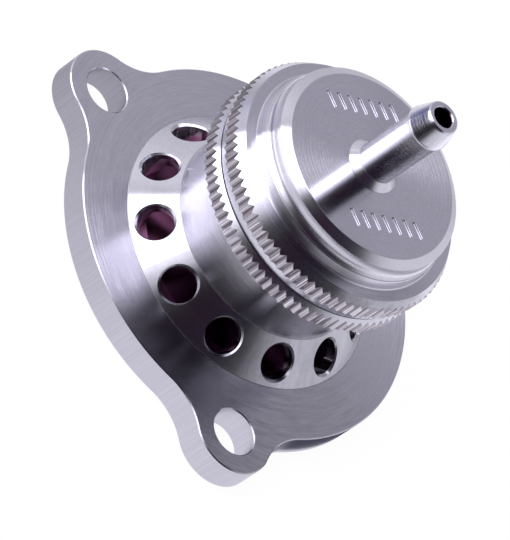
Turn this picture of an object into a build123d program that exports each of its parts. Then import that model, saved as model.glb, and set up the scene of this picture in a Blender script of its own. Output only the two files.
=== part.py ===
from build123d import *
import math
import os

os.makedirs("parts", exist_ok=True)

# Blow off valve. Origin at the centre of the flange underside, +Z towards the hose nipple.
# All sizes in millimetres. Heights are stacked: each one starts where the one below it ends.

# Flange with three bolt ears
flange_r = 27.6
flange_t = 4.4
rim_break = 0.25
ear_count = 3
ear_pcd = 58.0
ear_r = 6.1
ear_blend_r = 9.0
ear_hole_r = 3.3
ear_hole_break = 0.25
hole_break_angle = 90.0
first_ear_angle = 90.0
face_seal_r = 22.2
face_seal_cord = 1.7
face_groove_w = 2.3
face_groove_depth = 1.75

# Vent cone, neck and knurled collar of the body
cone_foot_r = 20.3
cone_h = 4.75
neck_r = 15.1
neck_h = 9.4
collar_r = 18.4
collar_knurl_h = 1.8
collar_slope_h = 0.98
collar_slope_w = 0.65
vent_count = 12
first_vent_angle = 15.0
vent_r = 2.5
vent_break = 0.35
vent_reach = 1.2
cone_wall = 2.1

# Straight knurl, the same on the collar and on the cap
knurl_count = 88
knurl_depth = 0.38

# Bore, chamber and threaded spigot inside the body
bore_r = 11.5
bore_break = 0.5
chamber_r = 16.5
chamber_lead = 1.1
seat_ledge_w = 0.9
spigot_r = 14.0
spigot_h = 6.85
spigot_break = 0.3
cap_seal_cord = 1.04
cap_groove_w = 1.6
cap_groove_land = 0.6

# Cap
cap_foot_w = 0.70
cap_foot_h = 1.6
cap_step_w = 0.40
cap_knurl_h = 1.92
shoulder_slope_h = 1.55
shoulder_slope_w = 0.98
riser_foot_r = 15.75
riser_h = 1.65
lip_r = 15.42
lip_break = 0.15
cove_h = 2.35
cove_top_r = 14.85
cove_sag = 0.33
face_r = 13.56
face_slope_h = 0.72
joint_gap = 0.14
joint_gap_w = 1.1
ceiling_gap = 0.2
boss_r = 4.9
boss_h = 2.4
mark_count = 7
mark_pitch = 1.8
mark_length = 2.7
mark_w = 0.55
mark_slant = 20.0
mark_depth = 0.22
mark_direction = 75.0
mark_row_a = (-8.7, 2.4)
mark_row_b = (8.3, -1.6)

# Hose nipple
nipple_foot_r = 4.0
nipple_foot_h = 0.95
shank_r = 2.93
shank_h = 9.9
barb_r = 3.25
barb_back_h = 0.3
barb_land_h = 0.3
barb_taper_h = 2.85
barb_taper_sag = 0.2
tip_r = 2.47
tip_round = 0.3
nipple_bore_r = 1.45
nipple_bore_break = 0.2
stub_r = 2.45
nipple_seal_cord = 0.7
nipple_seal_room = 0.05

# Valve seat, pressed in from below
seat_t = 2.2
inlet_r = 7.5
inlet_break = 0.3
inlet_wall_h = 3.0
seat_tube_r = 9.4
seat_lip_h = 2.4
seat_lip_in_r = 8.0
seat_lip_out_r = 8.6
seat_ring_cord = 0.9
seat_groove_w = 1.1

# Piston with its seals
travel = 7.0
nose_r = 9.6
nose_break = 0.3
seal_t = 1.2
seal_r = 9.2
seal_in_r = 4.4
seal_pocket = 0.6
retainer_r = 6.9
retainer_t = 0.9
screw_r = 2.0
screw_head_r = 3.6
screw_length = 6.0
hex_w = 2.5
hex_depth = 1.2
nose_h = 2.4
piston_floor_t = 3.0
pocket_r = 8.9
skirt_break = 0.3
groove_w = 1.8
ring_cord = 1.2
band_w = 3.0
band_t = 0.8
ring_land = 1.0
seat_gap = 0.02

# Spring, shims, guide and bump stop
wire_r = 0.7
coil_r = 7.75
coil_turns = 5.25
shim_t = 0.5
shim_count = 2
shim_in_r = 5.5
guide_flange_t = 1.0
guide_tube_r = 6.8
guide_tube_h = 2.6
stop_h = 2.1
stop_w = 1.5
stop_gap = 0.1

# Fits, all radial
running_fit = 0.05
thread_fit = 0.1
press_fit = 0.02
loose_fit = 0.2

# Heights worked out from the sizes above
cone_top = flange_t + cone_h
collar_z = cone_top + neck_h
collar_crest_z = collar_z + collar_knurl_h
joint_z = collar_crest_z + collar_slope_h
spigot_z = joint_z + spigot_h
ceiling_z = spigot_z + ceiling_gap
band_z = joint_z + cap_foot_h
cap_crest_z = band_z + cap_knurl_h
shoulder_z = cap_crest_z + shoulder_slope_h
lip_z = shoulder_z + riser_h
cove_top_z = lip_z + cove_h
face_z = cove_top_z + face_slope_h
boss_z = ceiling_z - boss_h
seat_lip_z = seat_t + seat_lip_h
seal_z = seat_lip_z + seat_gap
seal_top_z = seal_z + seal_t
nose_z = seal_top_z - seal_pocket
skirt_z = nose_z + nose_h + seal_pocket
floor_z = seal_top_z + piston_floor_t
stop_z = ceiling_z - stop_h
piston_top_z = stop_z - stop_gap - travel
shim_top_z = floor_z + shim_count * shim_t
guide_z = ceiling_z - guide_flange_t
collar_edge_r = collar_r - collar_slope_w
shoulder_r = collar_r - shoulder_slope_w
cap_foot_r = collar_r - cap_foot_w
seat_flange_r = chamber_r + seat_ledge_w
skirt_r = bore_r - running_fit
recess_r = spigot_r + thread_fit
vent_slope = math.degrees(math.atan2(cone_foot_r - neck_r, cone_h))
chamber_top_r = bore_r + chamber_lead


def vent_mouth(angle):
    """Plane on the cone, halfway up it, with its normal along the drilled hole."""
    turn = math.radians(angle)
    tilt = math.radians(vent_slope)
    middle_r = (cone_foot_r + neck_r) / 2
    outward = (math.cos(tilt) * math.cos(turn), math.cos(tilt) * math.sin(turn), math.sin(tilt))
    centre = (middle_r * math.cos(turn), middle_r * math.sin(turn), flange_t + cone_h / 2)
    return Plane(origin=centre, z_dir=outward)


def between_disc_and_ear(vertex):
    """True for the corners of the flange outline, where an ear leaves the disc."""
    near = 0.001
    for k in range(ear_count):
        turn = math.radians(first_ear_angle + k * 360 / ear_count)
        ear_x = ear_pcd / 2 * math.cos(turn)
        ear_y = ear_pcd / 2 * math.sin(turn)
        on_ear = abs(math.hypot(vertex.X - ear_x, vertex.Y - ear_y) - ear_r) < near
        if on_ear and abs(math.hypot(vertex.X, vertex.Y) - flange_r) < near:
            return True
    return False


def knurl_points(crest_r):
    """Closed star outline: a sharp crest and a groove bottom for each tooth."""
    points = []
    for step in range(2 * knurl_count):
        r = crest_r if step % 2 == 0 else crest_r - knurl_depth
        turn = math.pi * step / knurl_count
        points.append((r * math.cos(turn), r * math.sin(turn)))
    return points


def seal_ring(inner_r, cord, z):
    """A round cord ring lying level, its inside at inner_r and its middle at height z."""
    with BuildPart() as ring:
        with Locations((0, 0, z)):
            Torus(inner_r + cord / 2, cord / 2)
    return ring


def flat_ring(inner_r, outer_r, z, height):
    """A plain ring of rectangular section standing on height z."""
    with BuildPart() as ring:
        with BuildSketch(Plane.XY.offset(z)):
            Circle(outer_r)
            Circle(inner_r, mode=Mode.SUBTRACT)
        extrude(amount=height)
    return ring


# Body: flange, vent cone, neck, knurled collar and threaded spigot, turned and milled in one piece
with BuildPart() as valve_body:
    with BuildSketch() as flange_outline:
        Circle(flange_r)
        with PolarLocations(ear_pcd / 2, ear_count, start_angle=first_ear_angle):
            Circle(ear_r)
        fillet(flange_outline.vertices().filter_by(between_disc_and_ear), ear_blend_r)
    extrude(amount=flange_t)
    chamfer(valve_body.edges().group_by(Axis.Z)[-1], rim_break)
    with BuildSketch(Plane.XZ) as body_section:
        with BuildLine():
            Polyline(
                (0, flange_t),
                (cone_foot_r, flange_t),
                (neck_r, cone_top),
                (neck_r, collar_z),
                (collar_r, collar_z),
                (collar_r, collar_crest_z),
                (collar_edge_r, joint_z),
                (spigot_r, joint_z),
                (spigot_r, spigot_z - spigot_break),
                (spigot_r - spigot_break, spigot_z),
                (0, spigot_z),
                close=True,
            )
        make_face()
    revolve(axis=Axis.Z)
    # Chamber and piston bore, with the cone's wall even over the vents
    slope = math.radians(vent_slope)
    inner_reach = cone_foot_r - cone_wall / math.cos(slope)
    corner_z = flange_t + (inner_reach - chamber_r) * cone_h / (cone_foot_r - neck_r)
    chamber_top_z = flange_t + (inner_reach - chamber_top_r) * cone_h / (cone_foot_r - neck_r)
    with BuildSketch(Plane.XZ) as bore_section:
        with BuildLine():
            Polyline(
                (0, 0),
                (seat_flange_r, 0),
                (seat_flange_r, seat_t),
                (chamber_r, seat_t),
                (chamber_r, corner_z),
                (chamber_top_r, chamber_top_z),
                (bore_r, chamber_top_z),
                (bore_r, spigot_z - bore_break),
                (bore_r + bore_break, spigot_z),
                (0, spigot_z),
                close=True,
            )
        make_face()
    revolve(axis=Axis.Z, mode=Mode.SUBTRACT)
    # Groove in the underside for the face seal
    with BuildSketch() as face_groove:
        Circle(face_seal_r + face_groove_w / 2)
        Circle(face_seal_r - face_groove_w / 2, mode=Mode.SUBTRACT)
    extrude(amount=face_groove_depth, mode=Mode.SUBTRACT)
    # Groove near the top of the spigot for the cap seal
    cap_groove_z = spigot_z - cap_groove_land - cap_groove_w
    cap_groove_r = recess_r - cap_seal_cord - running_fit
    with BuildSketch(Plane.XY.offset(cap_groove_z)) as cap_groove:
        Circle(spigot_r + thread_fit)
        Circle(cap_groove_r, mode=Mode.SUBTRACT)
    extrude(amount=cap_groove_w, mode=Mode.SUBTRACT)
    # Twelve vents drilled square to the cone, each with its mouth broken
    with Locations(*[vent_mouth(first_vent_angle + k * 360 / vent_count) for k in range(vent_count)]):
        CounterSinkHole(vent_r, vent_r + vent_break, depth=cone_wall + vent_reach, counter_sink_angle=hole_break_angle)
    # Bolt holes
    with Locations((0, 0, flange_t)):
        with PolarLocations(ear_pcd / 2, ear_count, start_angle=first_ear_angle):
            CounterSinkHole(ear_hole_r, ear_hole_r + ear_hole_break, counter_sink_angle=hole_break_angle)
    # Knurl: all that lies outside the star outline is cut away
    with BuildSketch(Plane.XY.offset(collar_z)) as collar_knurl:
        Circle(collar_r + knurl_depth)
        with BuildLine():
            Polyline(*knurl_points(collar_r), close=True)
        make_face(mode=Mode.SUBTRACT)
    extrude(amount=collar_knurl_h + collar_slope_h, mode=Mode.SUBTRACT)
valve_body.part.label = "valve_body"
export_step(valve_body.part, "parts/valve_body.step")

# Valve seat: a plate pressed into the underside, with the inlet, the raised lip and a cord ring in its rim
seat_groove_r = seat_flange_r - seat_ring_cord - running_fit
with BuildPart() as valve_seat:
    with BuildSketch(Plane.XZ) as seat_section:
        with BuildLine():
            Polyline(
                (inlet_r + inlet_break, 0),
                (seat_flange_r - press_fit, 0),
                (seat_flange_r - press_fit, seat_t),
                (seat_tube_r, seat_t),
                (seat_tube_r, seat_lip_z - (seat_tube_r - seat_lip_out_r)),
                (seat_lip_out_r, seat_lip_z),
                (seat_lip_in_r, seat_lip_z),
                (inlet_r, inlet_break + inlet_wall_h),
                (inlet_r, inlet_break),
                close=True,
            )
        make_face()
    revolve(axis=Axis.Z)
    with BuildSketch(Plane.XY.offset((seat_t - seat_groove_w) / 2)) as seat_groove:
        Circle(seat_flange_r)
        Circle(seat_groove_r, mode=Mode.SUBTRACT)
    extrude(amount=seat_groove_w, mode=Mode.SUBTRACT)
valve_seat.part.label = "valve_seat"
export_step(valve_seat.part, "parts/valve_seat.step")

seat_o_ring = seal_ring(seat_groove_r + running_fit / 2, seat_ring_cord, seat_t / 2)
seat_o_ring.part.label = "seat_o_ring"
export_step(seat_o_ring.part, "parts/seat_o_ring.step")

# Face seal of the flange, as it lies when the valve is bolted down
face_ring_in_r = face_seal_r - face_seal_cord / 2
flange_o_ring = seal_ring(face_ring_in_r, face_seal_cord, face_groove_depth - face_seal_cord / 2)
flange_o_ring.part.label = "flange_o_ring"
export_step(flange_o_ring.part, "parts/flange_o_ring.step")

# Piston: a cup open to the top, with a smaller nose and three grooves round its skirt
lower_groove_z = skirt_z + ring_land
band_groove_z = lower_groove_z + groove_w + ring_land
upper_groove_z = piston_top_z - ring_land - groove_w
ring_groove_r = bore_r - ring_cord - 2 * running_fit
with BuildPart() as piston:
    with BuildSketch(Plane.XZ) as piston_section:
        with BuildLine():
            Polyline(
                (0, seal_top_z),
                (seal_r + running_fit, seal_top_z),
                (seal_r + running_fit, nose_z),
                (nose_r - nose_break / 2, nose_z),
                (nose_r, nose_z + nose_break / 2),
                (nose_r, skirt_z),
                (skirt_r - skirt_break, skirt_z),
                (skirt_r, skirt_z + skirt_break),
                (skirt_r, piston_top_z - skirt_break),
                (skirt_r - skirt_break, piston_top_z),
                (pocket_r, piston_top_z),
                (pocket_r, floor_z),
                (0, floor_z),
                close=True,
            )
        make_face()
    revolve(axis=Axis.Z)
    with BuildSketch(Plane.XZ) as piston_grooves:
        for groove_z in (lower_groove_z, upper_groove_z):
            with Locations((ring_groove_r, groove_z)):
                Rectangle(bore_r - ring_groove_r, groove_w, align=(Align.MIN, Align.MIN))
        with Locations((bore_r - running_fit - band_t, band_groove_z)):
            Rectangle(band_t + running_fit, band_w, align=(Align.MIN, Align.MIN))
    revolve(axis=Axis.Z, mode=Mode.SUBTRACT)
    with BuildSketch(Plane.XY.offset(seal_top_z)) as screw_hole:
        Circle(screw_r + running_fit)
    extrude(amount=piston_floor_t, mode=Mode.SUBTRACT)
piston.part.label = "piston"
export_step(piston.part, "parts/piston.step")

# Two cord rings and a guide band in the grooves of the skirt
piston_o_ring_lower = seal_ring(ring_groove_r + running_fit, ring_cord, lower_groove_z + groove_w / 2)
piston_o_ring_lower.part.label = "piston_o_ring_lower"
export_step(piston_o_ring_lower.part, "parts/piston_o_ring_lower.step")

piston_o_ring_upper = seal_ring(ring_groove_r + running_fit, ring_cord, upper_groove_z + groove_w / 2)
piston_o_ring_upper.part.label = "piston_o_ring_upper"
export_step(piston_o_ring_upper.part, "parts/piston_o_ring_upper.step")

band_in_r = bore_r - running_fit - band_t + press_fit
piston_guide_band = flat_ring(
    band_in_r, bore_r - press_fit, band_groove_z + press_fit, band_w - 2 * press_fit
)
piston_guide_band.part.label = "piston_guide_band"
export_step(piston_guide_band.part, "parts/piston_guide_band.step")

# Flat rubber seal under the nose, clamped by a retainer and its screw
nose_seal = flat_ring(seal_in_r, seal_r, seal_z, seal_t)
nose_seal.part.label = "nose_seal"
export_step(nose_seal.part, "parts/nose_seal.step")

retainer_z = seal_z - retainer_t
screw_head_h = screw_head_r - screw_r
with BuildPart() as seal_retainer:
    with BuildSketch(Plane.XZ) as retainer_section:
        with BuildLine():
            Polyline(
                (screw_head_r + running_fit, retainer_z),
                (retainer_r, retainer_z),
                (retainer_r, seal_z),
                (seal_in_r - running_fit, seal_z),
                (seal_in_r - running_fit, seal_top_z),
                (screw_r + running_fit, seal_top_z),
                (screw_r + running_fit, retainer_z + screw_head_h),
                close=True,
            )
        make_face()
    revolve(axis=Axis.Z)
seal_retainer.part.label = "seal_retainer"
export_step(seal_retainer.part, "parts/seal_retainer.step")

with BuildPart() as retainer_screw:
    with BuildSketch(Plane.XZ) as screw_section:
        with BuildLine():
            Polyline(
                (0, retainer_z),
                (screw_head_r, retainer_z),
                (screw_r, retainer_z + screw_head_h),
                (screw_r, retainer_z + screw_length),
                (0, retainer_z + screw_length),
                close=True,
            )
        make_face()
    revolve(axis=Axis.Z)
    with BuildSketch(Plane.XY.offset(retainer_z)) as hex_socket:
        RegularPolygon(hex_w / 2, 6, major_radius=False)
    extrude(amount=hex_depth, mode=Mode.SUBTRACT)
retainer_screw.part.label = "retainer_screw"
export_step(retainer_screw.part, "parts/retainer_screw.step")

# Two preload shims on the piston floor
for index, shim_name in enumerate(("preload_shim_lower", "preload_shim_upper")):
    shim = flat_ring(shim_in_r, pocket_r - loose_fit, floor_z + index * shim_t, shim_t)
    shim.part.label = shim_name
    export_step(shim.part, "parts/" + shim_name + ".step")

# Return spring, ground flat at both ends
spring_z = shim_top_z + seat_gap
spring_h = guide_z - seat_gap - spring_z
coil_pitch = spring_h / (coil_turns - 1)
with BuildPart() as return_spring:
    with BuildLine() as coil:
        Helix(coil_pitch, coil_pitch * coil_turns, coil_r, center=(0, 0, spring_z - coil_pitch / 2))
    with BuildSketch(coil.line ^ 0):
        Circle(wire_r)
    sweep(path=coil.line, is_frenet=True)
    with BuildSketch(Plane.XY.offset(spring_z)) as ground_ends:
        Circle(coil_r + 2 * wire_r)
    extrude(amount=spring_h, mode=Mode.INTERSECT)
return_spring.part.label = "return_spring"
export_step(return_spring.part, "parts/return_spring.step")

# Spring guide: a flanged bush on the boss under the cap's ceiling
guide_flange_r = bore_r - stop_w - 2 * loose_fit
with BuildPart() as spring_guide:
    with BuildSketch(Plane.XZ) as guide_section:
        with BuildLine():
            Polyline(
                (boss_r + running_fit, guide_z - guide_tube_h),
                (guide_tube_r, guide_z - guide_tube_h),
                (guide_tube_r, guide_z),
                (guide_flange_r, guide_z),
                (guide_flange_r, ceiling_z),
                (boss_r + running_fit, ceiling_z),
                close=True,
            )
        make_face()
    revolve(axis=Axis.Z)
spring_guide.part.label = "spring_guide"
export_step(spring_guide.part, "parts/spring_guide.step")

# Bump stop: a rubber ring round the guide's flange, which the piston meets when fully open
bump_stop = flat_ring(guide_flange_r + press_fit, bore_r - loose_fit, stop_z, stop_h)
bump_stop.part.label = "bump_stop"
export_step(bump_stop.part, "parts/bump_stop.step")

# Cap, screwed down on the spigot until its foot meets the collar
nipple_seal_depth = nipple_seal_cord + nipple_seal_room
nipple_seal_seat_r = stub_r + nipple_seal_cord + 3 * running_fit
with BuildPart() as cap:
    with BuildSketch(Plane.XZ) as cap_section:
        with BuildLine():
            Polyline(
                (0, joint_z),
                (cap_foot_r - joint_gap_w, joint_z),
                (cap_foot_r - joint_gap_w, joint_z + joint_gap),
                (cap_foot_r, joint_z + joint_gap),
                (collar_r - cap_step_w, band_z),
                (collar_r, band_z),
                (collar_r, cap_crest_z),
                (shoulder_r, shoulder_z),
                (riser_foot_r, shoulder_z),
                (lip_r, lip_z - lip_break),
                (lip_r - lip_break, lip_z),
            )
            cove_middle_r = (lip_r - lip_break + cove_top_r) / 2 - cove_sag
            ThreePointArc(
                (lip_r - lip_break, lip_z),
                (cove_middle_r, lip_z + cove_h / 2),
                (cove_top_r, cove_top_z),
            )
            Polyline((cove_top_r, cove_top_z), (face_r, face_z), (0, face_z), (0, joint_z))
        make_face()
    revolve(axis=Axis.Z)
    # Threaded recess round a central boss
    with BuildSketch(Plane.XY.offset(joint_z)) as recess:
        Circle(recess_r)
    extrude(amount=boss_z - joint_z, mode=Mode.SUBTRACT)
    with BuildSketch(Plane.XY.offset(boss_z)) as recess_ring:
        Circle(recess_r)
        Circle(boss_r, mode=Mode.SUBTRACT)
    extrude(amount=boss_h, mode=Mode.SUBTRACT)
    # Tapped hole for the nipple and the seat of its seal
    with Locations((0, 0, face_z)):
        CounterBoreHole(stub_r + running_fit, nipple_seal_seat_r, nipple_seal_depth)
    # Straight knurl above the plain foot
    with BuildSketch(Plane.XY.offset(band_z)) as cap_knurl:
        Circle(collar_r + knurl_depth)
        with BuildLine():
            Polyline(*knurl_points(collar_r), close=True)
        make_face(mode=Mode.SUBTRACT)
    extrude(amount=cap_knurl_h + shoulder_slope_h, mode=Mode.SUBTRACT)
    # Two rows of plain slanted bars engraved in the face
    with BuildSketch(Plane.XY.offset(face_z)) as face_marks:
        with Locations(*[Location((x, y, 0), mark_direction) for x, y in (mark_row_a, mark_row_b)]):
            with GridLocations(mark_pitch, 0, mark_count, 1):
                SlotOverall(mark_length, mark_w, rotation=90 + mark_slant)
    extrude(amount=-mark_depth, mode=Mode.SUBTRACT)
cap.part.label = "cap"
export_step(cap.part, "parts/cap.step")

cap_o_ring = seal_ring(cap_groove_r + running_fit / 2, cap_seal_cord, cap_groove_z + cap_groove_w / 2)
cap_o_ring.part.label = "cap_o_ring"
export_step(cap_o_ring.part, "parts/cap_o_ring.step")

# Hose nipple, screwed into the boss with its conical foot on the cap's face
shank_z = face_z + nipple_foot_h
barb_z = shank_z + shank_h
taper_z = barb_z + barb_back_h + barb_land_h
tip_z = taper_z + barb_taper_h + tip_round
with BuildPart() as hose_nipple:
    with BuildSketch(Plane.XZ) as nipple_section:
        with BuildLine():
            Polyline(
                (nipple_bore_r, boss_z),
                (stub_r, boss_z),
                (stub_r, face_z),
                (nipple_foot_r, face_z),
                (shank_r, shank_z),
                (shank_r, barb_z),
                (barb_r, barb_z + barb_back_h),
                (barb_r, taper_z),
            )
            taper_middle = ((barb_r + tip_r) / 2 + barb_taper_sag, taper_z + barb_taper_h / 2)
            ThreePointArc((barb_r, taper_z), taper_middle, (tip_r, tip_z - tip_round))
            RadiusArc((tip_r, tip_z - tip_round), (tip_r - tip_round, tip_z), -tip_round)
            Polyline(
                (tip_r - tip_round, tip_z),
                (nipple_bore_r + nipple_bore_break, tip_z),
                (nipple_bore_r, tip_z - nipple_bore_break),
                (nipple_bore_r, boss_z),
            )
        make_face()
    revolve(axis=Axis.Z)
hose_nipple.part.label = "hose_nipple"
export_step(hose_nipple.part, "parts/hose_nipple.step")

nipple_seal_z = face_z - nipple_seal_room / 2 - nipple_seal_cord / 2
nipple_o_ring = seal_ring(stub_r + running_fit, nipple_seal_cord, nipple_seal_z)
nipple_o_ring.part.label = "nipple_o_ring"
export_step(nipple_o_ring.part, "parts/nipple_o_ring.step")
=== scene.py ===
import bmesh
import bpy
import numpy as np
from mathutils import Matrix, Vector
from mathutils.geometry import delaunay_2d_cdt


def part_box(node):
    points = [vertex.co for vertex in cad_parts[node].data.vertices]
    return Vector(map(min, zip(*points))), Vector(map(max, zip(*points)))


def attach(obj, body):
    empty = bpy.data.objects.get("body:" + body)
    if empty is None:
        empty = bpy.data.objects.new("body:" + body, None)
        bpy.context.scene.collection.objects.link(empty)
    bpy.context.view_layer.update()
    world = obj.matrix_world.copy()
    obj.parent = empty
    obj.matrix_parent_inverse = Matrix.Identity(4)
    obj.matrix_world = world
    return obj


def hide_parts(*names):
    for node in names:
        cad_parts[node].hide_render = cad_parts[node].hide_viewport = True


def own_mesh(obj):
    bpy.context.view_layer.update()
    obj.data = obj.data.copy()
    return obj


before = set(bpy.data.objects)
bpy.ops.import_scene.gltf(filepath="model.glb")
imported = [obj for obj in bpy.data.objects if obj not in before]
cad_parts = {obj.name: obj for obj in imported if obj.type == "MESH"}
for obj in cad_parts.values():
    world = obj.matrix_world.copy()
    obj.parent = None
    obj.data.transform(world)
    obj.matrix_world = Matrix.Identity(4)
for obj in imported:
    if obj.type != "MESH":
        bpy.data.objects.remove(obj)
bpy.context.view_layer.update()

# Sizes in millimetres, heights from the flange's underside. The frame says where the pieces meet.
MM = 0.001
joint_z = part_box("cap")[0].z / MM
face_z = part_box("cap")[1].z / MM
spigot_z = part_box("valve_body")[1].z / MM
nipple_top_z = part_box("hose_nipple")[1].z / MM
piston_top_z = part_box("piston")[1].z / MM

# Shared: the knurls' teeth, eight columns of points to each, the usual break of a turned edge, the play between
# inner pieces, how far the flange's skin stays inside the solid, and the tone of bright aluminium.
teeth = 88
columns = 8 * teeth
turned_break = 0.3
fit = 0.05
skin_gap = 0.01
bright = (0.68, 0.665, 0.735)

# Flange: a disc with three ears, a concave blend on each side of an ear, and the O-ring's groove underneath.
flange_r = 27.6
flange_t = 4.4
rim_break = 0.15
foot_break = 0.1
ear_distance = 29.0
ear_r = 6.1
ear_blend_r = 9.0
ear_hole_r = 3.3
ear_angles = np.radians([90.0, 210.0, 330.0])
face_groove_in_r = 21.05
face_groove_out_r = 23.35
face_groove_depth = 1.75

# Cone with its vents, neck and knurled collar.
cone_foot_r = 20.3
neck_r = 15.1
cone_top_z = 9.15
collar_z = 18.55
collar_crest_z = 20.35
collar_edge_r = 17.75
knurl_r = 18.4
knurl_depth = 0.38
knurl_break = 0.05
vent_count = 12
first_vent = np.radians(15.0)
vent_r = 2.5
vent_mouth_r = 2.85
vent_depth = 3.3

# Inside the body: the seat's ledge, the chamber behind the vents, the piston's bore, and the spigot with its groove.
seat_r = 17.4
seat_t = 2.2
chamber_r = 16.5
chamber_corner_z = 5.03
chamber_top_r = 12.6
chamber_top_z = 8.59
bore_r = 11.5
bore_lead = 0.5
spigot_r = 14.0
cap_groove_z = spigot_z - 2.2
cap_groove_top_z = spigot_z - 0.6
cap_groove_r = 13.01

# Valve seat: inlet, groove and raised lip with a slope on both sides.
inlet_r = 7.5
seat_groove_z = 0.55
seat_groove_r = 16.45
seat_tube_r = 9.4
seat_lip_out_r = 8.6
seat_lip_out_h = 0.8
seat_lip_in_r = 8.0
seat_lip_in_h = 1.3

# Piston: nose with the seal's pocket, skirt with its grooves, and the cup that takes the spring.
skirt_z = 8.22
nose_r = 9.6
nose_break = 0.15
seal_pocket_r = 9.25
seal_top_z = 5.82
ring_groove_r = 10.2
ring_groove_w = 1.8
lower_groove_z = 9.22
upper_groove_z = piston_top_z - 2.8
band_groove_r = 10.65
band_groove_z = 12.02
band_groove_w = 3.0
cup_r = 8.9
cup_floor_z = 8.82

# Small pieces inside: bores of the rings, the retainer's screw, the spring, and its guide.
seal_in_r = 4.4
shim_in_r = 5.5
band_in_r = 10.67
stop_in_r = 9.62
screw_r = 2.0
screw_head_r = 3.6
screw_break = 0.05
hex_w = 2.5
hex_depth = 1.2
wire_r = 0.7
coil_r = 7.75
coil_turns = 5.25
guide_tube_r = 6.8
guide_flange_t = 1.0

# Cap: foot, step, knurled band, shoulder, riser, thin lip, cove and flat face, and the boss and ceiling inside.
cap_foot_r = 17.7
cap_foot_in_r = 16.6
joint_gap = 0.14
cap_step_r = 18.0
cap_step_foot = (cap_step_r - 0.08, joint_z + joint_gap + 0.4)
cap_band_z = joint_z + 1.6
cap_crest_z = cap_band_z + 1.92
shoulder_r = 17.42
shoulder_z = cap_crest_z + 1.55
riser_r = 15.75
riser_fillet = 0.25
riser_fillet_r = riser_r + 0.2
riser_foot = (riser_r - 0.08, shoulder_z + 0.36)
lip_r = 15.42
lip_z = shoulder_z + 1.65
lip_break = 0.15
riser_top = (lip_r + 0.02, lip_z - 0.25)
cove_bend = (14.58, lip_z + 0.7)
cove_top = (14.85, lip_z + 2.35)
face_r = 13.56
face_rim_w = 0.3
boss_r = 4.9
ceiling_z = spigot_z + 0.2
boss_z = ceiling_z - 2.4
recess_r = 14.1
nipple_seat_r = 3.3
nipple_seat_depth = 0.75

# Engraved bars on the cap's face: two rows of even pitch, given by their middles, with the bars slanted to the row.
mark_rows = ((-8.7, 2.4), (8.3, -1.6))
mark_direction = np.radians(75.0)
mark_slant = np.radians(20.0)
bar_direction = mark_direction + np.pi / 2 + mark_slant
mark_count = 7
mark_pitch = 1.8
mark_length = 2.7
mark_w = 0.55
mark_depth = 0.22
mark_break = 0.03
mark_taper = 0.05

# Hose nipple: foot, shank, barb with a steep back, land and taper, and rounded tip.
nipple_foot_r = 4.0
nipple_foot_h = 0.95
nipple_foot_break = 0.06
shank_r = 2.93
shank_z = face_z + nipple_foot_h
barb_z = shank_z + 9.9
barb_r = 3.25
barb_back_h = 0.3
barb_land_h = 0.3
barb_taper_sag = 0.03
tip_r = 2.47
tip_round = 0.3
tip_round_mid = 0.09
nipple_bore_r = 1.45
nipple_bore_break = 0.2
stub_r = 2.45

# The way from the object to the photograph's lens.
lens_azimuth, lens_elevation = np.radians((-69.925, 41.807))
lens_way = np.array((np.cos(lens_azimuth) * np.cos(lens_elevation), np.sin(lens_azimuth) * np.cos(lens_elevation),
                     np.sin(lens_elevation)))


def around(count=columns):
    """Even angles round the axis in radians, as many as a turned surface has columns."""
    return np.linspace(0, 2 * np.pi, count, endpoint=False)


def polar(r, a):
    """Point or points (r cos a, r sin a)."""
    return np.stack((r * np.cos(a), r * np.sin(a)), axis=-1)


def arc(centre, r, start, end, steps):
    """Points along an arc: centre plus r times (cos a, sin a), a going evenly from start towards end."""
    return np.asarray(centre) + polar(r, np.linspace(start, end, steps, endpoint=False))


def circle(r, centre=(0, 0), count=columns):
    """Closed outline: a full arc of radius r."""
    return arc(centre, r, 0, 2 * np.pi, count)


def eased(profile, amount, steps=4):
    """Profile with every inner corner P rounded by a short parabola (1-t)^2 A + 2t(1-t) P + t^2 C. A and C lie on
    the two sides, amount away from P, or a third of the side where that is shorter."""
    p = np.asarray(profile, float)
    before, corner, after = p[:-2], p[1:-1], p[2:]
    to_a = before - corner
    to_c = after - corner
    len_a = np.linalg.norm(to_a, axis=1, keepdims=True)
    len_c = np.linalg.norm(to_c, axis=1, keepdims=True)
    start = corner + to_a / len_a * np.minimum(amount, len_a / 3)
    end = corner + to_c / len_c * np.minimum(amount, len_c / 3)
    t = np.linspace(0, 1, steps)[None, :, None]
    bend = (1 - t) ** 2 * start[:, None] + 2 * t * (1 - t) * corner[:, None] + t ** 2 * end[:, None]
    return np.concatenate((p[:1], bend.reshape(-1, 2), p[-1:]))


def ring_mesh(grid):
    """Points and quads of a grid whose rows are closed rings, each quad joining neighbours of two rows."""
    rows, count = grid.shape[:2]
    i = np.arange(rows - 1)[:, None] * count
    j = np.arange(count)[None, :]
    k = (j + 1) % count
    quads = np.stack((i + j, i + k, i + count + k, i + count + j), axis=-1)
    return grid.reshape(-1, 3), quads.reshape(-1, 4)


def turned(profile, count=columns, centre=(0, 0)):
    """Surface of revolution: each profile point (r, z) becomes the ring (r cos a, r sin a, z) round the centre. The
    profile runs up the outside and down the inside, so that the faces point outwards."""
    p = np.asarray(profile, float)
    a = around(count)
    return ring_mesh(np.dstack((np.asarray(centre) + polar(p[:, :1], a), p[:, 1:] + 0 * a)))


def wall(outlines, heights):
    """Surface between closed outlines of the same number of points, each set at its own height."""
    grid = [np.column_stack((line, np.full(len(line), z))) for line, z in zip(outlines, heights)]
    return ring_mesh(np.array(grid))


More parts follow.
